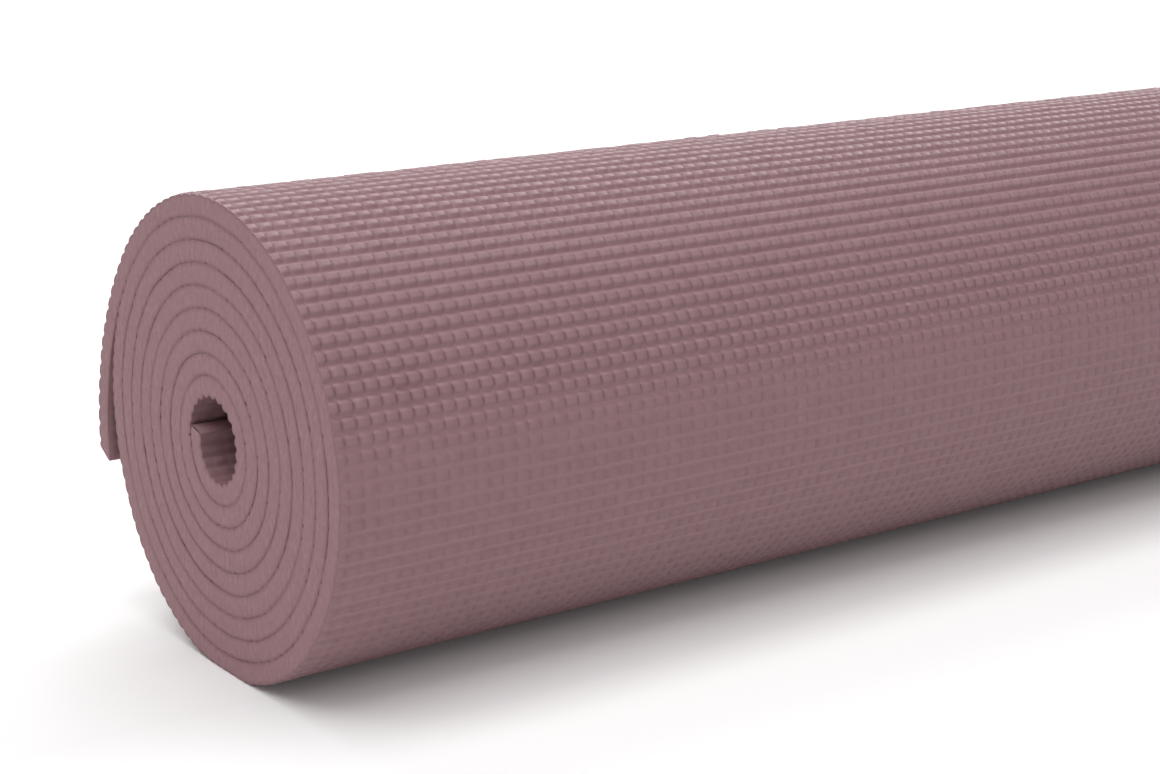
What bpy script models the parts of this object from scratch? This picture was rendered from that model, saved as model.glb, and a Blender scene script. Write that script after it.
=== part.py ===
"""A yoga mat rolled up and lying on its side, at its real size in metres, +Z up.

The mat is one long sheet of three bonded layers: a foam layer, a woven scrim and
a second foam layer. It is wound round an open eye, with its axis along X. Seen
from the cut end at -X, the sheet winds outwards and anticlockwise. Its last turn
is the wrap: short lengths of the same three layers, hinged one to the next along
the outer face, so that it can be laid out flat on the floor.

Angles round the roll start at the floor contact and grow with the winding.
"""

import math

import bpy
import numpy as np

# The sheet
MAT_LENGTH = 1.727
MAT_WIDTH = 0.610
FOAM_THICKNESS = 0.0016
SCRIM_THICKNESS = 0.0004
BOND_GAP = 0.0003
TURN_GAP = 0.00056

# The winding
INNER_END_RADIUS = 0.00872
FLAT_DEPTH = 0.0005
LOOP_POINTS = 24
FIRST_HINGE_ANGLE = math.radians(7.5)
LEAST_FIRST_SIDE_SHARE = 0.5
LEAST_LAST_SIDE_SHARE = 0.25

# The free end of the sheet
TAIL_ANGLE = math.radians(284)
TAIL_LIFT = 0.0063
TAIL_LIFT_ANGLE = math.radians(56)
TAIL_LIFT_POWER = 1.7
TAIL_BEVEL_ANGLE = math.radians(28)

# The wrap
WRAP_CUT_GAP = 0.0003
HINGE_EMPTY_SIZE = 0.01

# Surfaces: base colour, roughness
FOAM_FINISH = (0.290, 0.172, 0.184), 0.62
INNER_FOAM_FINISH = (0.270, 0.160, 0.171), 0.66
SCRIM_FINISH = (0.560, 0.520, 0.500), 0.90
METALLIC = 0.0

STEP = math.tau / LOOP_POINTS
SOLID_THICKNESS = 2 * FOAM_THICKNESS + SCRIM_THICKNESS + 2 * BOND_GAP
PITCH = SOLID_THICKNESS + TURN_GAP
OUTER_END_RADIUS = math.sqrt(INNER_END_RADIUS**2 + MAT_LENGTH * PITCH / math.pi)

# Each layer's lowest and highest distance from the sheet's middle, outwards
SCRIM_FACE = SCRIM_THICKNESS / 2
FOAM_FACE = SCRIM_FACE + BOND_GAP
LAYERS = {
    "outer_foam": (FOAM_FACE, FOAM_FACE + FOAM_THICKNESS),
    "scrim": (-SCRIM_FACE, SCRIM_FACE),
    "inner_foam": (-FOAM_FACE - FOAM_THICKNESS, -FOAM_FACE),
}
FINISHES = {
    "outer_foam": FOAM_FINISH,
    "scrim": SCRIM_FINISH,
    "inner_foam": INNER_FOAM_FINISH,
}

# A curve's own plane turned to stand across X, with its depth along X
ACROSS_THE_ROLL = (math.pi / 2, 0, math.pi / 2)


def clear_scene():
    for obj in list(bpy.data.objects):
        bpy.data.objects.remove(obj)


def winding_radius(angle):
    """Radius of the sheet's middle, with the lift of the free end."""
    radius = OUTER_END_RADIUS - PITCH * (TAIL_ANGLE - angle) / math.tau
    along = max(0, 1 - (TAIL_ANGLE - angle) / TAIL_LIFT_ANGLE)
    return radius + TAIL_LIFT * along**TAIL_LIFT_POWER


def winding_angles():
    """The angles of the sheet's corners, the inner end first."""
    turn = math.tau * (OUTER_END_RADIUS - INNER_END_RADIUS) / PITCH
    start = TAIL_ANGLE - turn
    first = math.ceil((start - FIRST_HINGE_ANGLE) / STEP + LEAST_FIRST_SIDE_SHARE)
    last = math.floor((TAIL_ANGLE - FIRST_HINGE_ANGLE) / STEP - LEAST_LAST_SIDE_SHARE)
    corners = [FIRST_HINGE_ANGLE + STEP * k for k in range(first, last + 1)]
    return [start, *corners, TAIL_ANGLE]


def winding_path(angles):
    """The sheet's middle as points (y, z) from the roll's axis."""
    radii = np.array([winding_radius(angle) for angle in angles])
    return np.stack([-radii * np.sin(angles), -radii * np.cos(angles)], axis=1)


def directions_of(path):
    steps = np.diff(path, axis=0)
    return steps / np.linalg.norm(steps, axis=1)[:, None]


def outwards(directions):
    return np.stack([-directions[..., 1], directions[..., 0]], axis=-1)


def offset_path(path, distance):
    """The path moved outwards, with mitred corners and a bevelled free end."""
    ways = directions_of(path)
    normals = outwards(ways)
    moved = np.empty_like(path)
    moved[0] = path[0] + distance * normals[0]
    both = normals[:-1] + normals[1:]
    moved[1:-1] = path[1:-1] + 2 * distance * both / (both**2).sum(axis=1)[:, None]
    setback = distance * math.tan(TAIL_BEVEL_ANGLE)
    moved[-1] = path[-1] + distance * normals[-1] - setback * ways[-1]
    return moved


def cut_back(line, ways, at_start, at_end):
    """A stretch of an offset path, drawn back from the hinges at its ends."""
    line = line.copy()
    if at_start:
        line[0] += ways[0] * WRAP_CUT_GAP / 2
    if at_end:
        line[-1] -= ways[-1] * WRAP_CUT_GAP / 2
    return line


def cut_flat(outline, floor):
    """The outline without what lies below the floor."""
    kept = []
    for start, end in zip(outline, np.roll(outline, -1, axis=0)):
        if start[1] >= floor:
            kept.append(start)
        if (start[1] - floor) * (end[1] - floor) < 0:
            share = (floor - start[1]) / (end[1] - start[1])
            kept.append(start + share * (end - start))
    return np.array(kept)


def turning_angles(path):
    """How far each corner of the path turns, the first counted from the floor."""
    ways = directions_of(path)
    headings = np.pi - np.arctan2(ways[:, 1], ways[:, 0])
    return np.diff(np.unwrap(headings), prepend=0)


def least_turn_gap(path):
    """Least distance between the faces of one turn and the next, on points."""
    points = np.concatenate([path, (path[:-1] + path[1:]) / 2])
    starts, sides = path[:-1], np.diff(path, axis=0)
    half_a_turn = LOOP_POINTS // 2
    index = np.concatenate([np.arange(len(path)), np.arange(len(path) - 1) + 1 / 2])
    least = math.inf
    for place, point in zip(index, points):
        apart = np.abs(np.arange(len(sides)) + 1 / 2 - place) > half_a_turn
        offset = point - starts[apart]
        side = sides[apart]
        share = np.clip((offset * side).sum(axis=1) / (side**2).sum(axis=1), 0, 1)
        gaps = np.linalg.norm(offset - share[:, None] * side, axis=1)
        least = min(least, gaps.min())
    return least - SOLID_THICKNESS


def add_material(name, finish):
    colour, roughness = finish
    material = bpy.data.materials.new(name)
    material.use_nodes = True
    shader = material.node_tree.nodes["Principled BSDF"]
    shader.inputs["Base Color"].default_value = (*colour, 1)
    shader.inputs["Roughness"].default_value = roughness
    shader.inputs["Metallic"].default_value = METALLIC
    return material


def add_empty(name, parent, place, collection):
    """An empty on a line along X, at (y, z) from its parent."""
    empty = bpy.data.objects.new(name, None)
    empty.empty_display_size = HINGE_EMPTY_SIZE
    empty.parent = parent
    empty.location = (0, *place)
    collection.objects.link(empty)
    return empty


def add_sheet_layer(name, outline, parent, material, collection):
    """A flat outline (y, z) as deep as the mat is wide."""
    curve = bpy.data.curves.new(name, "CURVE")
    curve.dimensions = "2D"
    curve.fill_mode = "BOTH"
    curve.extrude = MAT_WIDTH / 2
    spline = curve.splines.new("POLY")
    spline.points.add(len(outline) - 1)
    for point, place in zip(spline.points, outline):
        point.co = (*place, 0, 1)
    spline.use_cyclic_u = True
    curve.materials.append(material)
    obj = bpy.data.objects.new(name, curve)
    obj.rotation_euler = ACROSS_THE_ROLL
    obj.parent = parent
    collection.objects.link(obj)
    return obj


def build_mat():
    clear_scene()
    collection = bpy.data.collections.new("yoga_mat")
    bpy.context.scene.collection.children.link(collection)
    materials = {name: add_material(name, FINISHES[name]) for name in LAYERS}

    angles = winding_angles()
    path = winding_path(angles)
    ways = directions_of(path)
    faces = {
        name: [offset_path(path, distance) for distance in layer]
        for name, layer in LAYERS.items()
    }
    outer_line = faces["outer_foam"][1]
    inner_line = faces["inner_foam"][0]

    # A hinge at each corner past the floor contact, but for the tail's own corner
    hinges = [k for k, angle in enumerate(angles) if angle > 0][:-2]
    floor = FLAT_DEPTH - winding_radius(0) - SOLID_THICKNESS / 2
    everything = np.concatenate([outer_line, inner_line])
    across = everything[:, 0].max() + everything[:, 0].min()
    axis_place = np.array([-across / 2, -floor])

    def add_stretch(name, start, end, origin, parent):
        """The three layers between two corners of the path."""
        cut_start, cut_end = start > 0, end < len(path) - 1
        for layer, (low, high) in faces.items():
            stretch = [
                cut_back(
                    line[start : end + 1], ways[start:end], cut_start, cut_end
                )
                for line in (high, low)
            ]
            outline = np.concatenate([stretch[0], stretch[1][::-1]])
            outline = cut_flat(outline, floor) - origin
            add_sheet_layer(
                f"{name}_{layer}", outline, parent, materials[layer], collection
            )

    roll_axis = add_empty("roll_axis", None, axis_place, collection)
    add_stretch("roll", 0, hinges[0], np.zeros(2), roll_axis)

    turns = turning_angles(path[hinges[0] :])
    parent, parent_place = roll_axis, np.zeros(2)
    ends = [*hinges[1:], len(path) - 1]
    for number, (start, end) in enumerate(zip(hinges, ends), 1):
        place = outer_line[start]
        hinge = add_empty(
            f"wrap_{number:02d}_hinge", parent, place - parent_place, collection
        )
        add_stretch(f"wrap_{number:02d}", start, end, place, hinge)
        y, z = place + axis_place
        turn = math.degrees(turns[number - 1])
        print(f"wrap_{number:02d}: hinge at y {y:.6f}, z {z:.6f} m, opens {turn:.4f} deg")
        parent, parent_place = hinge, place

    length = np.linalg.norm(np.diff(path, axis=0), axis=1).sum()
    print(f"roll axis at y {axis_place[0]:.6f}, z {axis_place[1]:.6f} m")
    print(f"length along the middle of the sheet: {length:.4f} m")
    print(f"turns: {(angles[-1] - angles[0]) / math.tau:.3f}")
    print(f"least gap between turns: {least_turn_gap(path) * 1000:.3f} mm")


build_mat()
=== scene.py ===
"""The rolled yoga mat: its padded foam sheet, wound as in the photo, on a white floor.

Lengths are in metres. Angles round the roll start at the floor contact and grow with
the winding, as in the source of the solids. A place along the sheet is also counted in
rows of pads, from the floor contact outwards.
"""

import math

import bpy
import numpy as np
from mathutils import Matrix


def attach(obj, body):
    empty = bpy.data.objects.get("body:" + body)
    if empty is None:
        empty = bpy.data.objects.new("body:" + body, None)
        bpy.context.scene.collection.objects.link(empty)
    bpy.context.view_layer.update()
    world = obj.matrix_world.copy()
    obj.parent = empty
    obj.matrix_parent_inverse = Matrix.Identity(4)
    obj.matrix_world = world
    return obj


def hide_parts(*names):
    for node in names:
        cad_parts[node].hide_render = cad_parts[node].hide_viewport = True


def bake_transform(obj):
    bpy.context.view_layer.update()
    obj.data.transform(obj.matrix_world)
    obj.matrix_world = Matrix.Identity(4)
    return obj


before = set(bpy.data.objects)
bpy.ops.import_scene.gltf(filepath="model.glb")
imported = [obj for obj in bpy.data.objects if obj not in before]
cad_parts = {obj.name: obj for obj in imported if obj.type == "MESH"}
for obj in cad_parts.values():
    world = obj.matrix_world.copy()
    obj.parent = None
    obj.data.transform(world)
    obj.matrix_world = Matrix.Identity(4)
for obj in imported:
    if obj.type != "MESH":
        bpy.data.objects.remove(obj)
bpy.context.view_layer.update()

MM = 0.001

# The winding of the solids
MAT_LENGTH = 1727 * MM
MAT_WIDTH = 610 * MM
PITCH = 4.76 * MM
INNER_END_RADIUS = 8.72 * MM
OUTER_END_RADIUS = math.sqrt(INNER_END_RADIUS**2 + MAT_LENGTH * PITCH / math.pi)
TAIL_ANGLE = math.radians(284)
TAIL_LIFT = 6.3 * MM
TAIL_LIFT_ANGLE = math.radians(56)
TAIL_LIFT_POWER = 1.7
START_ANGLE = TAIL_ANGLE - math.tau * (OUTER_END_RADIUS - INNER_END_RADIUS) / PITCH
AXIS_Y = -3.725 * MM
AXIS_Z = 49.736 * MM
HALF_WIDTH = MAT_WIDTH / 2
WRAP_PIECES = 18
PIECE_ROWS = 4
LAYERS = ("outer_foam", "scrim", "inner_foam")

# Steps for reading the winding's slope and length, and what counts as no difference
ANGLE_STEP = 1e-4
TABLE_STEP = math.radians(0.25)
TABLE_MARGIN = 0.1
ROUNDING = 1e-6
PLACE_DIGITS = 7

# The pads' grid: rows round the roll and columns along it
ROW_ANGLE = math.radians(3.75)
ROW_LENGTH = 3.155 * MM
COLUMN_WIDTH = 3.24 * MM
FIRST_COLUMN_SHARE = 0.67
MOST_ROWS_IN = 480
MOST_ROWS = 560
MOST_COLUMNS = 192

# The pieces within the wrap, by their last row inwards and how each face is sampled
ROLL_ROWS = (-8, -16, -24, -47, -70, -93)
ROLL_PIECES = (
    "mat_under_wrap_1",
    "mat_under_wrap_2",
    "mat_under_wrap_3",
    "mat_under_wrap_4",
    "mat_under_wrap_5",
    "mat_under_wrap_6",
    "mat_turns",
    "mat_eye",
)
ROLL_KINDS = (
    *[("plain", "ends")] * 6,
    ("ends", "ends"),
    ("ends", "plain"),
)

# Distance of the pads' tops from the sheet's middle: pressed together, and free
PRESSED_TOP = 2.384 * MM
WRAP_TOP = 2.42 * MM
LOOSE_TOP = 2.80 * MM
LOOSE_INNER_TOP = 3.55 * MM
OUTER_GIVE_SHARE = 0.3
INNER_GIVE_SHARE = 0.7
EYE_TOP = 2.42 * MM
LOOSE_END_ANGLE = math.radians(60)
TAIL_ZONE_START = math.radians(228)
TAIL_ZONE = math.radians(40)

# From where on the floor presses the outer face, and the room where it doesn't
FLOOR_ZONE_START = -math.pi / 2
NO_FLOOR = 1.0

# Depth of the grooves between the rows, and how much of it those between columns have
FREE_DEPTH = 0.85 * MM
TAIL_DEPTH = 1.25 * MM
FREE_INNER_DEPTH = 0.25 * MM
EYE_DEPTH = 0.65 * MM
PRESSED_DEPTH = 0.45 * MM
PRESSED_END_DEPTH = 0.12 * MM
END_ZONE = 7 * MM
COLUMN_GROOVE_SHARE = 0.60
EYE_COLUMN_GROOVE_SHARE = 0.25

# The pads are lower on the upright front of the roll
FRONT_DEPTH_SHARE = 0.58
FRONT_START, FRONT_START_ZONE = math.radians(-20), math.radians(40)
FRONT_END, FRONT_END_ZONE = math.radians(93), math.radians(22)

# The pads' profile, in shares of a row or column, and its shoulders in half rows
ROW_PHASE = 0.08
SHOULDER_START = 0.28
SHOULDER_END = 0.68
GROOVE_FLAT = 0.035
FINE_EDGE = 0.095
PLAIN_EDGE = 0.13
PRESSED_NARROWING = 0.15

# How the pads differ from each other, in shares of their grooves' depth
RANDOM_SEED = 7
PAD_RISE_SPREAD = 0.07
PAD_LEAN_SPREAD = 0.07
MOST_WANDER = 0.25
PRESSED_WANDER = 0.25
NOTCH_DEPTHS = (0.2, 1.6)

# Where each pad is sampled, in shares of its row or column, and near the cut edges
FINE_ROW = (
    *(0, 0.06, 0.15, 0.21, 0.27, 0.33, 0.39),
    *(0.61, 0.67, 0.73, 0.79, 0.85, 0.94),
)
FINE_COLUMN = (0, 0.035, 0.13, 0.87, 0.965)
PLAIN_ROW = (0, 0.16, 0.36, 0.64, 0.84)
PLAIN_COLUMN = (0, 0.12, 0.50, 0.88)
ENDS_ROW = (0, 0.08, 0.18, 0.32, 0.50, 0.68, 0.82, 0.92)
ROW_SHARES = {"fine": FINE_ROW, "plain": PLAIN_ROW, "ends": ENDS_ROW}
END_STEPS = (0, 0.3 * MM, 0.9 * MM, 2.0 * MM, 6 * MM)
RIM_STEPS = (0.15 * MM, 0.45 * MM, 0.9 * MM)
LEAST_STEP = 0.02

# The cut edge: its corners stand back by a profile over the sheet's thickness, most at
# the grooves, and the faces drop towards it
CORNER_SETBACK = 0.065 * MM
GROOVE_SETBACK = 0.10 * MM
CORNER_PROFILE = ((0, 1.0), (0.04, 0.80), (0.09, 0.48), (0.15, 0.18), (0.22, 0.0))
SETBACK_ZONE = 3 * MM
RIM_ZONE = 0.9 * MM
RIM_DROP = 0.18 * MM
TAIL_RIM_DROP = 0.85 * MM
RIM_RELIEF_SHARE = 0.35
PRESSED_RIM_RELIEF_SHARE = 0.6

# Waves along the sheet, each with its size, its length per radian and its start: of
# the cut edge, of its corners' setback as a share, and of the seam between two turns
EDGE_WAVES = (
    (0.05 * MM, 18.7 * MM, 1.3),
    (0.03 * MM, 7.1 * MM, 0.4),
    (0.02 * MM, 2.4 * MM, 2.2),
)
SETBACK_WAVES = (
    (0.30, 11.3 * MM, 0.7),
    (0.25, 4.3 * MM, 2.9),
)
SEAM_WAVES = (
    (0.07 * MM, 5.3 * MM, 0.9),
    (0.05 * MM, 2.1 * MM, 2.7),
)

# The cut at the free end: bevelled, with round corners
TAIL_OUTER_BEVEL_ANGLE = math.radians(10)
TAIL_INNER_BEVEL_ANGLE = math.radians(28)
TAIL_OUTER_CORNER = 1.3 * MM
TAIL_INNER_CORNER = 0.5 * MM
TAIL_STEPS = (0.15 * MM, 0.5 * MM, 1.0 * MM)
SHEET_END_SHARES = (0, 0.06, 0.25, 0.5, 0.75, 0.94, 1)
SHEET_END_SWELL = 0.15 * MM
SHEET_END_SWELL_POWER = 2.5

# The camera, fitted to the photo: place in metres, turn, and lens and sensor in mm
CAMERA_PLACE = (-0.5138436, -0.42045602, 0.18100674)
CAMERA_TURN = (math.radians(90 - 14.441), 0, math.radians(53.975 - 90))
LENS = 71.113
SENSOR_WIDTH = 36.0

# The lamps: lean from overhead towards the back, share along, size along and
# across the roll, radiance
LAMP_TARGET = (-0.15, 0, 0.05)
LAMP_DISTANCE = 1.7
LAMPS = {
    "key": (math.radians(3), -0.20, 2.4, 0.5, 1.90),
    "over": (math.radians(-9), -0.30, 2.4, 1.3, 1.62),
    "back": (math.radians(43), 0.10, 1.1, 1.1, 1.75),
    "back_far_end": (math.radians(45), 0.63, 1.3, 0.9, 2.0),
    "front": (math.radians(-45), -0.30, 1.2, 1.2, 0.95),
}
WORLD_STRENGTH = 0.20
SEEN_WORLD_STRENGTH = 1.0
WHITE = (1, 1, 1, 1)

# The floor, its glow, which is painted light that grows with the distance from the
# roll's line and so lightens the roll's shadow, and more of it far away
FLOOR_COLOUR = (0.95, 0.95, 0.95, 1)
FLOOR_SIZE = 12.0
NEAR_FLOOR = (0.022, 0.052)
NEAR_FLOOR_GLOW = (0.035, 0.175)
FAR_FLOOR = (0.45, 2.4)
FAR_FLOOR_GLOW = 0.65

# The Mix node's sockets for colours
MIX_FACTOR, MIX_FIRST, MIX_SECOND = 0, 6, 7
MIX_RESULT = 2

OUTER, INNER = 0, 1
SKIN_SLOT, CUT_SLOT = 0, 1
MAP_NAME = "OFBake"
STRIP_GAP_SHARE = 0.01
HIDDEN_MAP_SCALE = 0.05

# Drawn for each face and pad, for each face, direction and pad, and for each face, end
# of the roll and groove
rng = np.random.default_rng(RANDOM_SEED)
pad_rise = rng.normal(0, PAD_RISE_SPREAD, (2, MOST_ROWS, MOST_COLUMNS))
pad_lean = rng.normal(0, PAD_LEAN_SPREAD, (2, 2, MOST_ROWS, MOST_COLUMNS))
notch_depth = rng.uniform(*NOTCH_DEPTHS, (2, 2, MOST_ROWS))


def lift(angle):
    """How far the free end stands off the winding."""
    along = np.clip(1 - (TAIL_ANGLE - angle) / TAIL_LIFT_ANGLE, 0, None)
    return TAIL_LIFT * along**TAIL_LIFT_POWER


def middle(angle):
    """The sheet's middle as (y, z) at each angle."""
    radius = OUTER_END_RADIUS - PITCH * (TAIL_ANGLE - angle) / math.tau + lift(angle)
    return np.stack(
        [AXIS_Y - radius * np.sin(angle), AXIS_Z - radius * np.cos(angle)], axis=-1
    )


def outward(angle):
    """The way out from the sheet's middle, as (y, z)."""
    way = middle(angle + ANGLE_STEP) - middle(angle - ANGLE_STEP)
    way /= np.linalg.norm(way, axis=-1)[..., None]
    return np.stack([-way[..., 1], way[..., 0]], axis=-1)


table_angles = np.arange(
    START_ANGLE - TABLE_MARGIN, TAIL_ANGLE + TABLE_MARGIN, TABLE_STEP
)
table_steps = np.linalg.norm(np.diff(middle(table_angles), axis=0), axis=1)
table_lengths = np.concatenate([[0], np.cumsum(table_steps)])
table_lengths -= np.interp(0, table_angles, table_lengths)


def length_at(angle):
    """The length along the sheet's middle, from the floor contact outwards."""
    return np.interp(angle, table_angles, table_lengths)


def angle_at_length(length):
    """The angle where the sheet is that long, from the floor contact outwards."""
    return np.interp(length, table_lengths, table_angles)


def row_at(angle):
    """The place in rows of pads: by angle in the wrap, and by length within it."""
    angle = np.asarray(angle, float)
    return np.where(angle >= 0, angle / ROW_ANGLE, length_at(angle) / ROW_LENGTH)


def angle_of(row):
    """The angle of a place in rows of pads."""
    row = np.asarray(row, float)
    return np.where(row >= 0, row * ROW_ANGLE, angle_at_length(row * ROW_LENGTH))


START_ROW = float(row_at(START_ANGLE))
TAIL_ROW = float(row_at(TAIL_ANGLE))


def samples(low, high, shares, extra=(), phase=0.0):
    """The places to sample from low to high, as counted in rows or columns."""
    cells = np.arange(math.floor(low) - 1, math.ceil(high) + 1)
    places = (cells[:, None] + phase + np.array(shares)).ravel()
    places = np.sort(np.concatenate([places, extra]))
    places = places[(places > low + LEAST_STEP) & (places < high - LEAST_STEP)]
    apart = np.diff(places, prepend=low - 1) > LEAST_STEP
    return np.concatenate([[low], places[apart], [high]])


def cell_of(places):
    """Cell number and the share of it, with the last place kept in its own cell."""
    cells = np.floor(places + ROUNDING).astype(int)
    cells[-1] = math.floor(places[-1] - ROUNDING)
    return cells, places - cells


def column_places(kind):
    """Where a face is sampled across the sheet, in columns and in metres."""
    low = -FIRST_COLUMN_SHARE
    high = low + MAT_WIDTH / COLUMN_WIDTH
    if kind == "ends":
        steps = np.array(END_STEPS) / COLUMN_WIDTH
        places = np.concatenate([low + steps, high - steps[::-1]])
        return places, -HALF_WIDTH + (places - low) * COLUMN_WIDTH
    steps = np.array(RIM_STEPS) / COLUMN_WIDTH
    shares = FINE_COLUMN if kind == "fine" else PLAIN_COLUMN
    places = samples(low, high, shares, np.concatenate([low + steps, high - steps]))
    return places, -HALF_WIDTH + (places - low) * COLUMN_WIDTH


def smooth(share):
    """From 0 to 1, with a gentle start and end."""
    share = np.clip(share, 0, 1)
    return share * share * (3 - 2 * share)


def row_dome(share, flat):
    """0 in the groove and 1 on the pad: a flat top, round shoulders, straight sides."""
    share = np.clip((share - flat) / (1 - 2 * flat), 0, 1)
    out = np.abs(2 * share - 1)
    width = SHOULDER_END - SHOULDER_START
    bend = np.clip((out - SHOULDER_START) / width, 0, 1)
    drop = width * (bend**3 - bend**4 / 2) + np.clip(out - SHOULDER_END, 0, None)
    return 1 - drop / (width / 2 + 1 - SHOULDER_END)


def waves_at(angle, waves):
    """The sum of waves along the sheet."""
    s = length_at(angle)
    return sum(size * np.sin(s / wave + start) for size, wave, start in waves)


def seam_shift(angle):
    """How the seam between two turns wanders outwards, by the inner one's angle."""
    return waves_at(angle, SEAM_WAVES)


def end_shift(angle):
    """How far the cut edge stands out, along the sheet."""
    return waves_at(angle, EDGE_WAVES)


def column_dome(share, flat, edge):
    """0 in the groove and 1 on the pad: a flat top and round edges."""
    near = np.clip((np.minimum(share, 1 - share) - flat) / edge, 0, 1)
    return near * (2 - near)


def give(room, most, share):
    """How far a face comes out where the turns part by room."""
    return most * np.tanh(share * room / most)


def face_top(angle, side, eye):
    """Where the pads' tops are, and how free the face is, from 0 to 1."""
    if eye:
        return np.full(len(angle), EYE_TOP), np.ones(len(angle))
    if side == INNER:
        out = give(lift(angle), LOOSE_INNER_TOP - PRESSED_TOP, INNER_GIVE_SHARE)
        return PRESSED_TOP + out, out / (LOOSE_INNER_TOP - PRESSED_TOP)
    over = angle + math.tau
    room = np.where(over > TAIL_ANGLE, TAIL_LIFT, lift(over))
    out = give(room, LOOSE_TOP - PRESSED_TOP, OUTER_GIVE_SHARE)
    loose = PRESSED_TOP + out
    back = smooth(1 + angle / LOOSE_END_ANGLE)
    return loose + (WRAP_TOP - loose) * back, out / (LOOSE_TOP - PRESSED_TOP)


def front_share(angle):
    """1 on the upright front of the roll, and 0 elsewhere."""
    front = smooth((angle - FRONT_START) / FRONT_START_ZONE)
    return front - smooth((angle - FRONT_END) / FRONT_END_ZONE)


def face_depths(angle, inside, free, side, eye):
    """Depth of the grooves between rows, and how far the face drops at the cut edge.

    inside is how far in from the cut edge a column is, from 0 to 1.
    """
    pressed = PRESSED_END_DEPTH + (PRESSED_DEPTH - PRESSED_END_DEPTH) * inside
    if side == INNER:
        free_depth = EYE_DEPTH if eye else FREE_INNER_DEPTH
        rim_drop = 0 if eye else RIM_DROP * free
    else:
        tail = smooth((angle - TAIL_ZONE_START) / TAIL_ZONE)[:, None]
        front = front_share(angle)[:, None]
        free_depth = FREE_DEPTH + (TAIL_DEPTH - FREE_DEPTH) * tail
        free_depth = free_depth * (1 - (1 - FRONT_DEPTH_SHARE) * front)
        rim_drop = (RIM_DROP + (TAIL_RIM_DROP - RIM_DROP) * tail) * free
    return free * free_depth + (1 - free) * pressed, rim_drop


def pad_domes(v, u, kind, eye):
    """The pads' profiles round the roll and along it: 1 on the pad, 0 in a groove."""
    fine = kind == "fine"
    if eye:
        v_dome = smooth(2 * np.minimum(v, 1 - v))
    else:
        v_dome = row_dome(v, GROOVE_FLAT if fine else 0)
    if kind == "ends":
        u_dome = np.ones(len(u))
    elif fine:
        u_dome = column_dome(u, GROOVE_FLAT, FINE_EDGE)
    else:
        u_dome = column_dome(u, 0, PLAIN_EDGE)
    return v_dome[:, None], u_dome[None, :]


def notch_share(row, v, along, inside, free, side):
    """How deep each groove between rows is, varied where the faces are pressed."""
    groove = row + (v > 0.5) + MOST_ROWS_IN
    share = notch_depth[side][(along > 0).astype(int)][:, groove].T
    return 1 + (share - 1) * (1 - free) * (1 - inside)


def pad_wander(row, column, v, u, side):
    """How far each pad's top stands out of line, as it does on its own."""
    cell = np.ix_(row + MOST_ROWS_IN, np.clip(column, -1, MOST_COLUMNS - 2) + 1)
    lean = pad_lean[side][0][cell] * (v - 0.5)[:, None]
    return pad_rise[side][cell] + (lean + pad_lean[side][1][cell] * (u - 0.5)[None, :])


def on_floor(offset, angle):
    """The outer face, with all of it pressed flat where the roll lies on the floor."""
    down = np.maximum(-outward(angle)[:, 1], ROUNDING)
    room = np.where(angle > FLOOR_ZONE_START, middle(angle)[:, 1] / down, NO_FLOOR)
    return offset * np.minimum(1, room / offset.max(axis=1))[:, None]


def face_points(angle, along, offset, setback, side):
    """The points of a face, with its ends drawn back from the cut edges."""
    distance = offset if side == OUTER else -offset
    place = middle(angle)[:, None] + distance[..., None] * outward(angle)[:, None]
    near = np.clip(1 - (HALF_WIDTH - np.abs(along)) / SETBACK_ZONE, 0, 1)
    back = np.where(along < 0, setback[:, :1], setback[:, 1:])
    x = along + np.sign(along) * near * (end_shift(angle)[:, None] - back)
    return np.concatenate([x[..., None], place], axis=-1)


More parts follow.
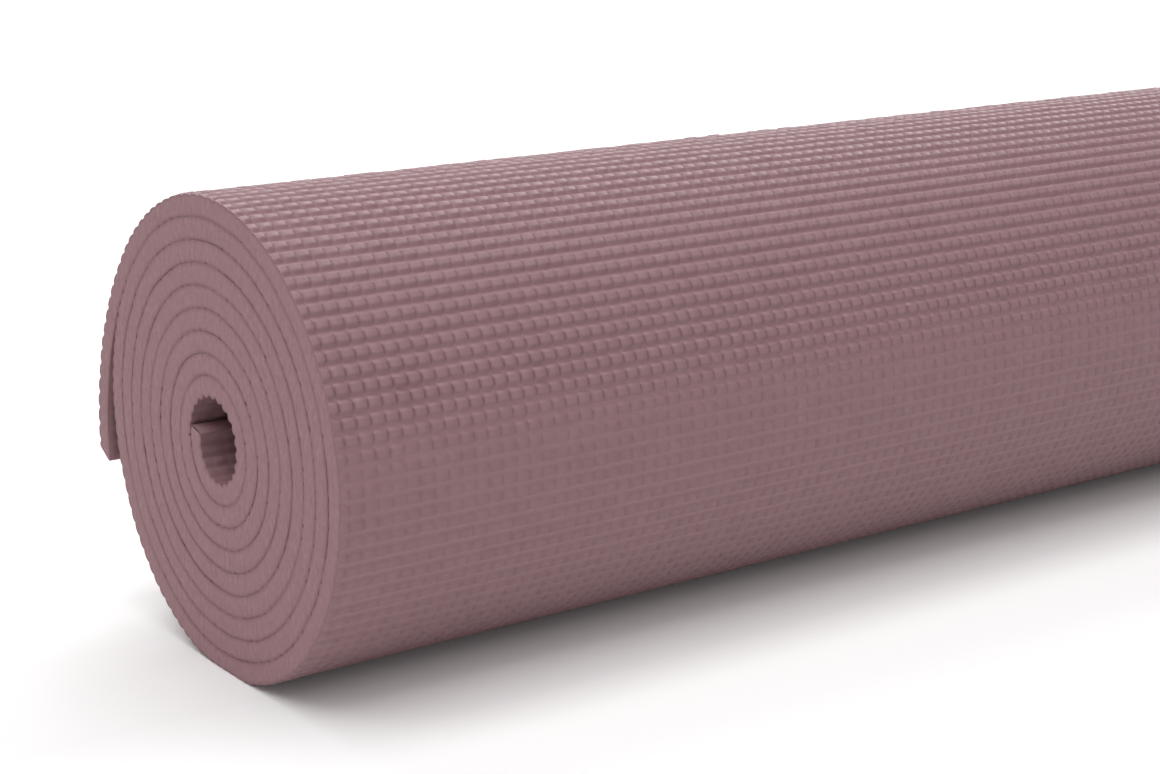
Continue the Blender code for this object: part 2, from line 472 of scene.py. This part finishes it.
def face_of(rows, kind, side, eye, corner):
    """One face of the sheet: its points, their relief, which places the painted light
    and shade in its grooves, and the corner's setback.
    """
    columns, along = column_places(kind)
    angle = angle_of(rows)
    row, v = cell_of(rows - ROW_PHASE)
    column, u = cell_of(columns)
    from_end = HALF_WIDTH - np.abs(along)
    inside = np.clip(from_end / END_ZONE, 0, 1)
    rim = 1 - smooth(from_end / RIM_ZONE)
    top, free = face_top(angle, side, eye)
    free = free[:, None]
    depth, rim_drop = face_depths(angle, inside, free, side, eye)
    v_dome, u_dome = pad_domes(v, u, kind, eye)

    # The grooves, less deep at the cut edge
    notch = notch_share(row, v, along, inside, free, side)
    v_drop = notch * (1 - v_dome) ** (1 + PRESSED_NARROWING * (1 - free))
    edge_drop = v_drop[:, [0, -1]]
    rim_share = PRESSED_RIM_RELIEF_SHARE
    rim_share = 1 if eye else rim_share + (RIM_RELIEF_SHARE - rim_share) * free
    v_drop = v_drop * (1 - rim * (1 - rim_share))
    column_share = EYE_COLUMN_GROOVE_SHARE if eye else COLUMN_GROOVE_SHARE
    u_drop = (1 - u_dome) * column_share * (1 - rim)
    drop = v_drop + u_drop - v_drop * u_drop

    wander = pad_wander(row, column, v, u, side) * v_dome * u_dome * (1 - rim)
    wander = wander * (PRESSED_WANDER + (1 - PRESSED_WANDER) * free)
    wander = np.minimum(wander, MOST_WANDER)
    offset = top[:, None] - rim_drop * rim + depth * (wander - drop)
    seam = seam_shift(angle) if side == OUTER else -seam_shift(angle - math.tau)
    offset += (1 - free) * seam[:, None]
    if corner:
        short = np.clip(corner - (length_at(angle[-1]) - length_at(angle)), 0, corner)
        offset -= (corner - np.sqrt(corner**2 - short**2))[:, None]
    if side == OUTER:
        offset = on_floor(offset, angle)

    waves = 1 + waves_at(angle, SETBACK_WAVES)
    setback = CORNER_SETBACK * waves[:, None] + GROOVE_SETBACK * edge_drop
    points = face_points(angle, along, offset, setback, side)
    # Relief, 0 in the grooves between rows, places the painted light that lightens them
    # against their shade
    relief = 1 if eye else 1 - np.clip(v_drop, 0, 1)
    if side == OUTER:
        # Over 1 in the grooves between columns, for painted shade that darkens them on
        # the pads' tops, but not on the upright front
        relief = relief * (1 + u_drop * (1 - front_share(angle)[:, None]))
    return points, np.broadcast_to(relief, drop.shape), setback


class Shell:
    """A mesh gathered from grids of points, with a map of it laid out in strips."""

    def __init__(self):
        self.points, self.quads, self.slots, self.reliefs = [], [], [], []
        self.blocks, self.count = [], 0

    def add(self, points, across, down, relief, slot, flip, scale=1.0):
        """across and down are the grid's own lengths, which its map keeps."""
        rows, columns = points.shape[:2]
        index = np.arange(rows * columns).reshape(rows, columns) + self.count
        quads = [index[:-1, :-1], index[:-1, 1:], index[1:, 1:], index[1:, :-1]]
        if flip:
            quads.reverse()
        quads = np.stack(quads, axis=-1).reshape(-1, 4)
        self.points.append(points.reshape(-1, 3))
        self.reliefs.append(np.broadcast_to(relief, (rows, columns)).ravel())
        self.quads.append(quads)
        self.slots.append(np.full(len(quads), slot))
        flat = [np.broadcast_to(a, (rows, columns)).ravel() for a in (across, down)]
        self.blocks.append([axis[quads - self.count] * scale for axis in flat])
        self.count += rows * columns

    def strip_map(self):
        """Lays the grids' strips one above the other, in a square from 0 to 1."""
        area = sum(np.ptp(a) * np.ptp(b) for a, b in self.blocks)
        width = math.sqrt(area)
        placed, floor, widest = [], 0.0, 0.0
        for a, b in self.blocks:
            number = ((a.mean(axis=1) - a.min()) / width).astype(int)
            across, down = np.empty_like(a), np.empty_like(b)
            for strip in range(number.max() + 1):
                mine = number == strip
                if not mine.any():
                    continue
                across[mine] = a[mine] - a[mine].min()
                down[mine] = b[mine] - b[mine].min() + floor
                widest = max(widest, across[mine].max())
                floor = down[mine].max() + width * STRIP_GAP_SHARE
            placed.append(np.stack([across, down], axis=-1).reshape(-1, 2))
        return np.concatenate(placed) / (widest, floor)

    def build(self, name, materials):
        points = np.concatenate(self.points).astype(np.float32).ravel()
        quads = np.concatenate(self.quads)
        mesh = bpy.data.meshes.new(name)
        mesh.vertices.add(self.count)
        mesh.vertices.foreach_set("co", points)
        mesh.loops.add(quads.size)
        mesh.loops.foreach_set("vertex_index", quads.astype(np.int32).ravel())
        mesh.polygons.add(len(quads))
        starts = np.arange(0, quads.size, 4, dtype=np.int32)
        mesh.polygons.foreach_set("loop_start", starts)
        slots = np.concatenate(self.slots).astype(np.int32)
        mesh.polygons.foreach_set("material_index", slots)
        mesh.polygons.foreach_set("use_smooth", np.ones(len(quads), bool))
        layer = mesh.uv_layers.new(name=MAP_NAME)
        layer.data.foreach_set("uv", self.strip_map().astype(np.float32).ravel())
        relief = mesh.attributes.new("relief", "FLOAT", "POINT")
        values = np.concatenate(self.reliefs).astype(np.float32)
        relief.data.foreach_set("value", values)
        rest = mesh.attributes.new("rest", "FLOAT_VECTOR", "POINT")
        rest.data.foreach_set("vector", points)
        for material in materials:
            mesh.materials.append(material)
        mesh.update(calc_edges=True)
        obj = bpy.data.objects.new(name, mesh)
        bpy.context.scene.collection.objects.link(obj)
        return obj


def along_line(places, known, line):
    """A line of points on a face, read at other places along it."""
    return np.stack([np.interp(places, known, line[:, k]) for k in range(3)], axis=-1)


def shared_places(first, second):
    """All the places of both, each once."""
    return np.union1d(np.round(first, PLACE_DIGITS), np.round(second, PLACE_DIGITS))


def add_edges(shell, faces, angles):
    """The cut edges at both sides of the sheet, between its two faces."""
    (outer_places, outer, outer_back), (inner_places, inner, inner_back) = faces
    places = shared_places(outer_places, inner_places)
    angle = np.interp(places, (0, 1), angles)
    shares, profile = np.array(CORNER_PROFILE).T
    shares = np.concatenate([shares, [0.5], 1 - shares[::-1]])
    near_inner = np.concatenate([profile, np.zeros(len(profile) + 1)])
    near_outer = near_inner[::-1]
    for column, way in ((0, -1), (-1, 1)):
        high = along_line(places, outer_places, outer[:, column])
        low = along_line(places, inner_places, inner[:, column])
        points = low[:, None] + shares[:, None] * (high - low)[:, None]
        high_back = np.interp(places, outer_places, outer_back[:, column])
        low_back = np.interp(places, inner_places, inner_back[:, column])
        back = low_back[:, None] * near_inner + high_back[:, None] * near_outer
        # Relief falls to 0 towards the seams between the turns, where the cut edge gets
        # painted shade
        relief = 1 - (near_inner + near_outer)[None, :]
        points[..., 0] = way * (HALF_WIDTH + end_shift(angle)[:, None] - back)
        across = np.linalg.norm(points[:, :, 1:] - low[:, None, 1:], axis=-1)
        length = length_at(angle)[:, None]
        shell.add(points, length, across, relief, CUT_SLOT, flip=way < 0)


def add_sheet_end(shell, faces, way):
    """The cut across the sheet, at its inner end or its free end."""
    (outer_x, outer), (inner_x, inner) = faces
    shares = np.array(SHEET_END_SHARES)
    x = shared_places(outer_x, inner_x)
    high = along_line(x, outer_x, outer)
    low = along_line(x, inner_x, inner)
    points = low[:, None] + shares[:, None] * (high - low)[:, None]
    line = (high - low).mean(axis=0)[1:]
    line /= np.linalg.norm(line)
    swell = SHEET_END_SWELL * (1 - np.abs(2 * shares - 1) ** SHEET_END_SWELL_POWER)
    points[..., 1:] += way * swell[None, :, None] * np.array([line[1], -line[0]])
    across = np.linalg.norm(points - low[:, None], axis=-1)
    shell.add(points, x[:, None], across, 1, CUT_SLOT, flip=way < 0)


def sheet_piece(name, low, high, kinds, materials):
    """A stretch of the sheet from one row to another.

    kinds says how the outer and the inner face are sampled.
    """
    shell = Shell()
    at_start, at_tail = low == START_ROW, high == TAIL_ROW
    lines, sheet_ends = [], []
    for side, kind in zip((OUTER, INNER), kinds):
        eye = side == INNER and name == "mat_eye"
        last, corner, extra = high, 0, []
        if at_tail:
            bevel = (
                WRAP_TOP * math.tan(TAIL_OUTER_BEVEL_ANGLE),
                -LOOSE_INNER_TOP * math.tan(TAIL_INNER_BEVEL_ANGLE),
            )[side]
            tail_length = length_at(TAIL_ANGLE) - bevel
            last = float(row_at(angle_at_length(tail_length)))
            corner = TAIL_OUTER_CORNER if side == OUTER else TAIL_INNER_CORNER
            extra = row_at(angle_at_length(tail_length - np.array(TAIL_STEPS)))
        rows = samples(low, last, ROW_SHARES[kind], extra, ROW_PHASE)
        points, relief, setback = face_of(rows, kind, side, eye, corner)
        length = length_at(angle_of(rows))[:, None]
        scale = HIDDEN_MAP_SCALE if kind == "ends" else 1
        across = points[0, :, 0][None, :]
        shell.add(points, across, length, relief, SKIN_SLOT, side == INNER, scale)
        lines.append(((rows - low) / (last - low), points, setback))
        sheet_ends.append((points[0], points[-1]))
    angles = (float(angle_of(low)), float(angle_of(high)))
    add_edges(shell, lines, angles)
    if at_start:
        add_sheet_end(shell, [(first[:, 0], first) for first, _ in sheet_ends], -1)
    if at_tail:
        add_sheet_end(shell, [(end[:, 0], end) for _, end in sheet_ends], 1)
    obj = shell.build(name, materials)
    return obj


def linear(red, green, blue):
    """A colour written in 0 to 255, as the shader takes it."""
    values = [channel / 255 for channel in (red, green, blue)]
    return (
        *[v / 12.92 if v <= 0.04045 else ((v + 0.055) / 1.055) ** 2.4 for v in values],
        1,
    )


class Nodes:
    """A material and the nodes added to it."""

    def __init__(self, name):
        self.material = bpy.data.materials.new(name)
        self.material.use_nodes = True
        self.tree = self.material.node_tree
        self.shader = self.tree.nodes["Principled BSDF"]

    def add(self, kind, inputs=None, **settings):
        node = self.tree.nodes.new("ShaderNode" + kind)
        for key, value in settings.items():
            setattr(node, key, value)
        for key, value in (inputs or {}).items():
            if isinstance(value, bpy.types.NodeSocket):
                self.tree.links.new(value, node.inputs[key])
            else:
                node.inputs[key].default_value = value
        return node

    def link(self, socket, name):
        self.tree.links.new(socket, self.shader.inputs[name])

    def noise(self, vector, scale, detail, roughness=0.5):
        inputs = {"Vector": vector, "Scale": scale, "Detail": detail}
        inputs["Roughness"] = roughness
        return self.add("TexNoise", inputs).outputs["Fac"]

    def ramp(self, value, low, high, to_low=0.0, to_high=1.0):
        inputs = {"Value": value, "From Min": low, "From Max": high}
        inputs.update({"To Min": to_low, "To Max": to_high})
        return self.add("MapRange", inputs).outputs["Result"]

    def mix(self, factor, first, second):
        inputs = {MIX_FACTOR: factor, MIX_FIRST: first, MIX_SECOND: second}
        return self.add("Mix", inputs, data_type="RGBA").outputs[MIX_RESULT]

    def maths(self, operation, first, second=0.0):
        inputs = {0: first, 1: second}
        return self.add("Math", inputs, operation=operation).outputs[0]

    def bump(self, height, strength, depth):
        inputs = {"Height": height, "Strength": strength, "Distance": depth}
        self.link(self.add("Bump", inputs).outputs["Normal"], "Normal")


FOAM = linear(149, 116, 120)
FOAM_LIGHT = linear(153, 120, 124)
FOAM_DARK = linear(145, 112, 116)
# Painted light: the grooves between rows are lighter, against the shade that falls in
# them
FOAM_PAINTED_GROOVE_LIGHT = linear(162, 127, 131)
# Painted shade: the grooves between columns are darker on the pads' tops
FOAM_PAINTED_GROOVE_SHADE = linear(124, 94, 98)
FOAM_ROUGHNESS = (0.40, 0.54)
FOAM_SPECULAR = 0.32
FOAM_BUMP_STRENGTH = 0.3
FOAM_BUMP_DEPTH = 0.1 * MM
CUT = linear(159, 125, 129)
CUT_LIGHT = linear(170, 136, 139)
CUT_DARK = linear(151, 117, 122)
# Painted shade in the seams between the turns on the cut edge
CUT_PAINTED_SEAM_SHADE = linear(128, 96, 101)
CUT_ROUGHNESS = 0.85
CUT_SPECULAR = 0.25
CUT_BUMP_STRENGTH = 0.6
CUT_BUMP_DEPTH = 0.3 * MM
STREAKS_STRETCH = (0.2, 1.0, 0.5)

# Noises of the foam, each with its scale in ripples per metre, detail and roughness
FOAM_BROAD = (260, 2)
FOAM_FINE = (900, 4, 0.6)
FOAM_PORES = (3200, 2)
CUT_BROAD = (240, 3)
CUT_STREAKS = (900, 4, 0.6)
CUT_PORES_SCALE = 2600.0


def foam_material():
    """Moulded foam: a soft satin skin with fine pores, painted light in the grooves
    between rows and painted shade in those between columns.
    """
    n = Nodes("foam")
    place = n.add("Attribute", attribute_name="rest").outputs["Vector"]
    broad = n.noise(place, *FOAM_BROAD)
    fine = n.noise(place, *FOAM_FINE)
    pores = n.noise(place, *FOAM_PORES)
    colour = n.mix(n.ramp(broad, 0.3, 0.7), FOAM_DARK, FOAM_LIGHT)
    colour = n.mix(n.ramp(fine, 0.25, 0.75, 0.0, 0.5), colour, FOAM)
    # Relief is 0 in a groove between rows, 1 on a pad, and over 1 between columns:
    # painted light lightens the grooves between rows against their shade, and painted
    # shade darkens those between columns
    relief = n.add("Attribute", attribute_name="relief").outputs["Fac"]
    colour = n.mix(n.ramp(relief, 0.0, 0.8, 1.0, 0.0), colour, FOAM_PAINTED_GROOVE_LIGHT)
    # Painted shade in the grooves between columns
    colour = n.mix(n.ramp(relief, 1.0, 1.5, 0.0, 0.8), colour, FOAM_PAINTED_GROOVE_SHADE)
    n.link(colour, "Base Color")
    n.link(n.ramp(fine, 0.2, 0.8, *FOAM_ROUGHNESS), "Roughness")
    n.shader.inputs["Specular IOR Level"].default_value = FOAM_SPECULAR
    height = n.maths("ADD", fine, n.maths("MULTIPLY", pores, 0.5))
    n.bump(height, FOAM_BUMP_STRENGTH, FOAM_BUMP_DEPTH)
    return n.material


def cut_material():
    """The cut edge: open foam with soft upright streaks, and painted shade at the seams
    between the turns.
    """
    n = Nodes("foam_cut_edge")
    place = n.add("Attribute", attribute_name="rest").outputs["Vector"]
    stretched = n.add("Mapping", {"Vector": place, "Scale": STREAKS_STRETCH})
    streaks = n.noise(stretched.outputs["Vector"], *CUT_STREAKS)
    broad = n.noise(place, *CUT_BROAD)
    pores = n.add("TexVoronoi", {"Vector": place, "Scale": CUT_PORES_SCALE})
    pores = pores.outputs["Distance"]
    colour = n.mix(n.ramp(streaks, 0.3, 0.7), CUT_DARK, CUT_LIGHT)
    colour = n.mix(n.ramp(broad, 0.3, 0.7, 0.0, 0.6), colour, CUT)
    # Relief is 0 at the seams between the turns, which painted shade darkens
    relief = n.add("Attribute", attribute_name="relief").outputs["Fac"]
    colour = n.mix(n.ramp(relief, 0.0, 1.0, 0.6, 0.0), colour, CUT_PAINTED_SEAM_SHADE)
    n.link(colour, "Base Color")
    n.shader.inputs["Roughness"].default_value = CUT_ROUGHNESS
    n.shader.inputs["Specular IOR Level"].default_value = CUT_SPECULAR
    height = n.maths("ADD", streaks, n.maths("MULTIPLY", pores, 0.4))
    n.bump(height, CUT_BUMP_STRENGTH, CUT_BUMP_DEPTH)
    return n.material


def wrap_body(number):
    """The body of a length of the wrap, counted from the roll as 0."""
    return f"wrap_{number:02d}" if number else "roll"


def wrap_nodes(body):
    """The solids of a body, one for each layer of the sheet."""
    return [f"{body}_{layer}" for layer in LAYERS]


def build_mat():
    materials = [foam_material(), cut_material()]
    for number in range(1, WRAP_PIECES + 1):
        low, bend_end = PIECE_ROWS * (number - 1), PIECE_ROWS * number
        high = bend_end if number < WRAP_PIECES else TAIL_ROW
        name = f"mat_wrap_{number:02d}"
        obj = sheet_piece(name, low, high, ("fine", "plain"), materials)
        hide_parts(*wrap_nodes(wrap_body(number)))
        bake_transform(obj)
    eye_row = math.ceil(row_at(START_ANGLE + math.tau))
    bounds = [0, *ROLL_ROWS, eye_row, START_ROW]
    for name, high, low, kinds in zip(ROLL_PIECES, bounds, bounds[1:], ROLL_KINDS):
        obj = sheet_piece(name, low, high, kinds, materials)
        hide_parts(*wrap_nodes("roll"))
        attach(obj, "roll")


def seen_or_reflected(tree):
    """1 for a ray from the camera, a reflection or through glass, and 0 otherwise."""
    path = tree.nodes.new("ShaderNodeLightPath")
    value = path.outputs["Is Camera Ray"]
    for name in ("Is Glossy Ray", "Is Transmission Ray"):
        either = tree.nodes.new("ShaderNodeMath")
        either.operation = "MAXIMUM"
        tree.links.new(value, either.inputs[0])
        tree.links.new(path.outputs[name], either.inputs[1])
        value = either.outputs[0]
    return value


def add_floor():
    """A white floor, with a glow that only the camera and reflections see: painted
    light that lightens the roll's shadow away from its line.
    """
    n = Nodes("floor")
    n.shader.inputs["Base Color"].default_value = FLOOR_COLOUR
    n.shader.inputs["Roughness"].default_value = 1.0
    n.shader.inputs["Specular IOR Level"].default_value = 0.0
    n.shader.inputs["Emission Color"].default_value = WHITE
    place = n.add("NewGeometry").outputs["Position"]
    away = n.add("VectorMath", {0: place}, operation="LENGTH").outputs["Value"]
    across = n.maths("ABSOLUTE", n.add("SeparateXYZ", {0: place}).outputs["Y"])
    # Painted light on the floor, least next to the roll, lightening its shadow
    near = n.ramp(across, *NEAR_FLOOR, *NEAR_FLOOR_GLOW)
    glow = n.maths("ADD", near, n.ramp(away, *FAR_FLOOR, 0.0, FAR_FLOOR_GLOW))
    n.link(n.maths("MULTIPLY", seen_or_reflected(n.tree), glow), "Emission Strength")
    mesh = bpy.data.meshes.new("floor")
    half = FLOOR_SIZE / 2
    corners = [(-half, -half, 0), (half, -half, 0), (half, half, 0), (-half, half, 0)]
    mesh.from_pydata(corners, [], [(0, 1, 2, 3)])
    mesh.materials.append(n.material)
    obj = bpy.data.objects.new("floor", mesh)
    bpy.context.scene.collection.objects.link(obj)


def add_lamp(name, lean, share_along, size, size_across, radiance):
    """A flat lamp that faces the near half of the mat, with its size along the roll.

    lean is its angle from overhead towards the back, and share_along how far it is
    along the roll, as a share of its distance.
    """
    side = math.sqrt(1 - share_along**2)
    way = np.array([share_along, side * math.sin(lean), side * math.cos(lean)])
    data = bpy.data.lights.new(name, "AREA")
    data.shape = "RECTANGLE"
    data.size, data.size_y = size, size_across
    data.energy = radiance * math.pi * size * size_across
    obj = bpy.data.objects.new(name, data)
    obj.location = np.array(LAMP_TARGET) + LAMP_DISTANCE * way
    obj.rotation_mode = "YXZ"
    obj.rotation_euler = (-lean, math.asin(share_along), 0)
    bpy.context.scene.collection.objects.link(obj)


def add_world():
    """Soft light from all round, and plain white where it is seen or reflected."""
    world = bpy.data.worlds.new("studio")
    world.use_nodes = True
    bpy.context.scene.world = world
    tree = world.node_tree
    background = tree.nodes["Background"]
    background.inputs["Color"].default_value = WHITE
    background.inputs["Strength"].default_value = WORLD_STRENGTH
    seen = tree.nodes.new("ShaderNodeBackground")
    seen.inputs["Color"].default_value = WHITE
    seen.inputs["Strength"].default_value = SEEN_WORLD_STRENGTH
    mix = tree.nodes.new("ShaderNodeMixShader")
    tree.links.new(seen_or_reflected(tree), mix.inputs[0])
    tree.links.new(background.outputs[0], mix.inputs[1])
    tree.links.new(seen.outputs[0], mix.inputs[2])
    tree.links.new(mix.outputs[0], tree.nodes["World Output"].inputs["Surface"])


def add_camera():
    data = bpy.data.cameras.new("camera")
    data.sensor_width = SENSOR_WIDTH
    data.lens = LENS
    obj = bpy.data.objects.new("camera", data)
    obj.location = CAMERA_PLACE
    obj.rotation_euler = CAMERA_TURN
    bpy.context.scene.collection.objects.link(obj)
    bpy.context.scene.camera = obj


add_camera()
build_mat()
add_floor()
add_world()
for lamp_name, lamp in LAMPS.items():
    add_lamp(lamp_name, *lamp)
bpy.context.scene.view_settings.view_transform = "Standard"
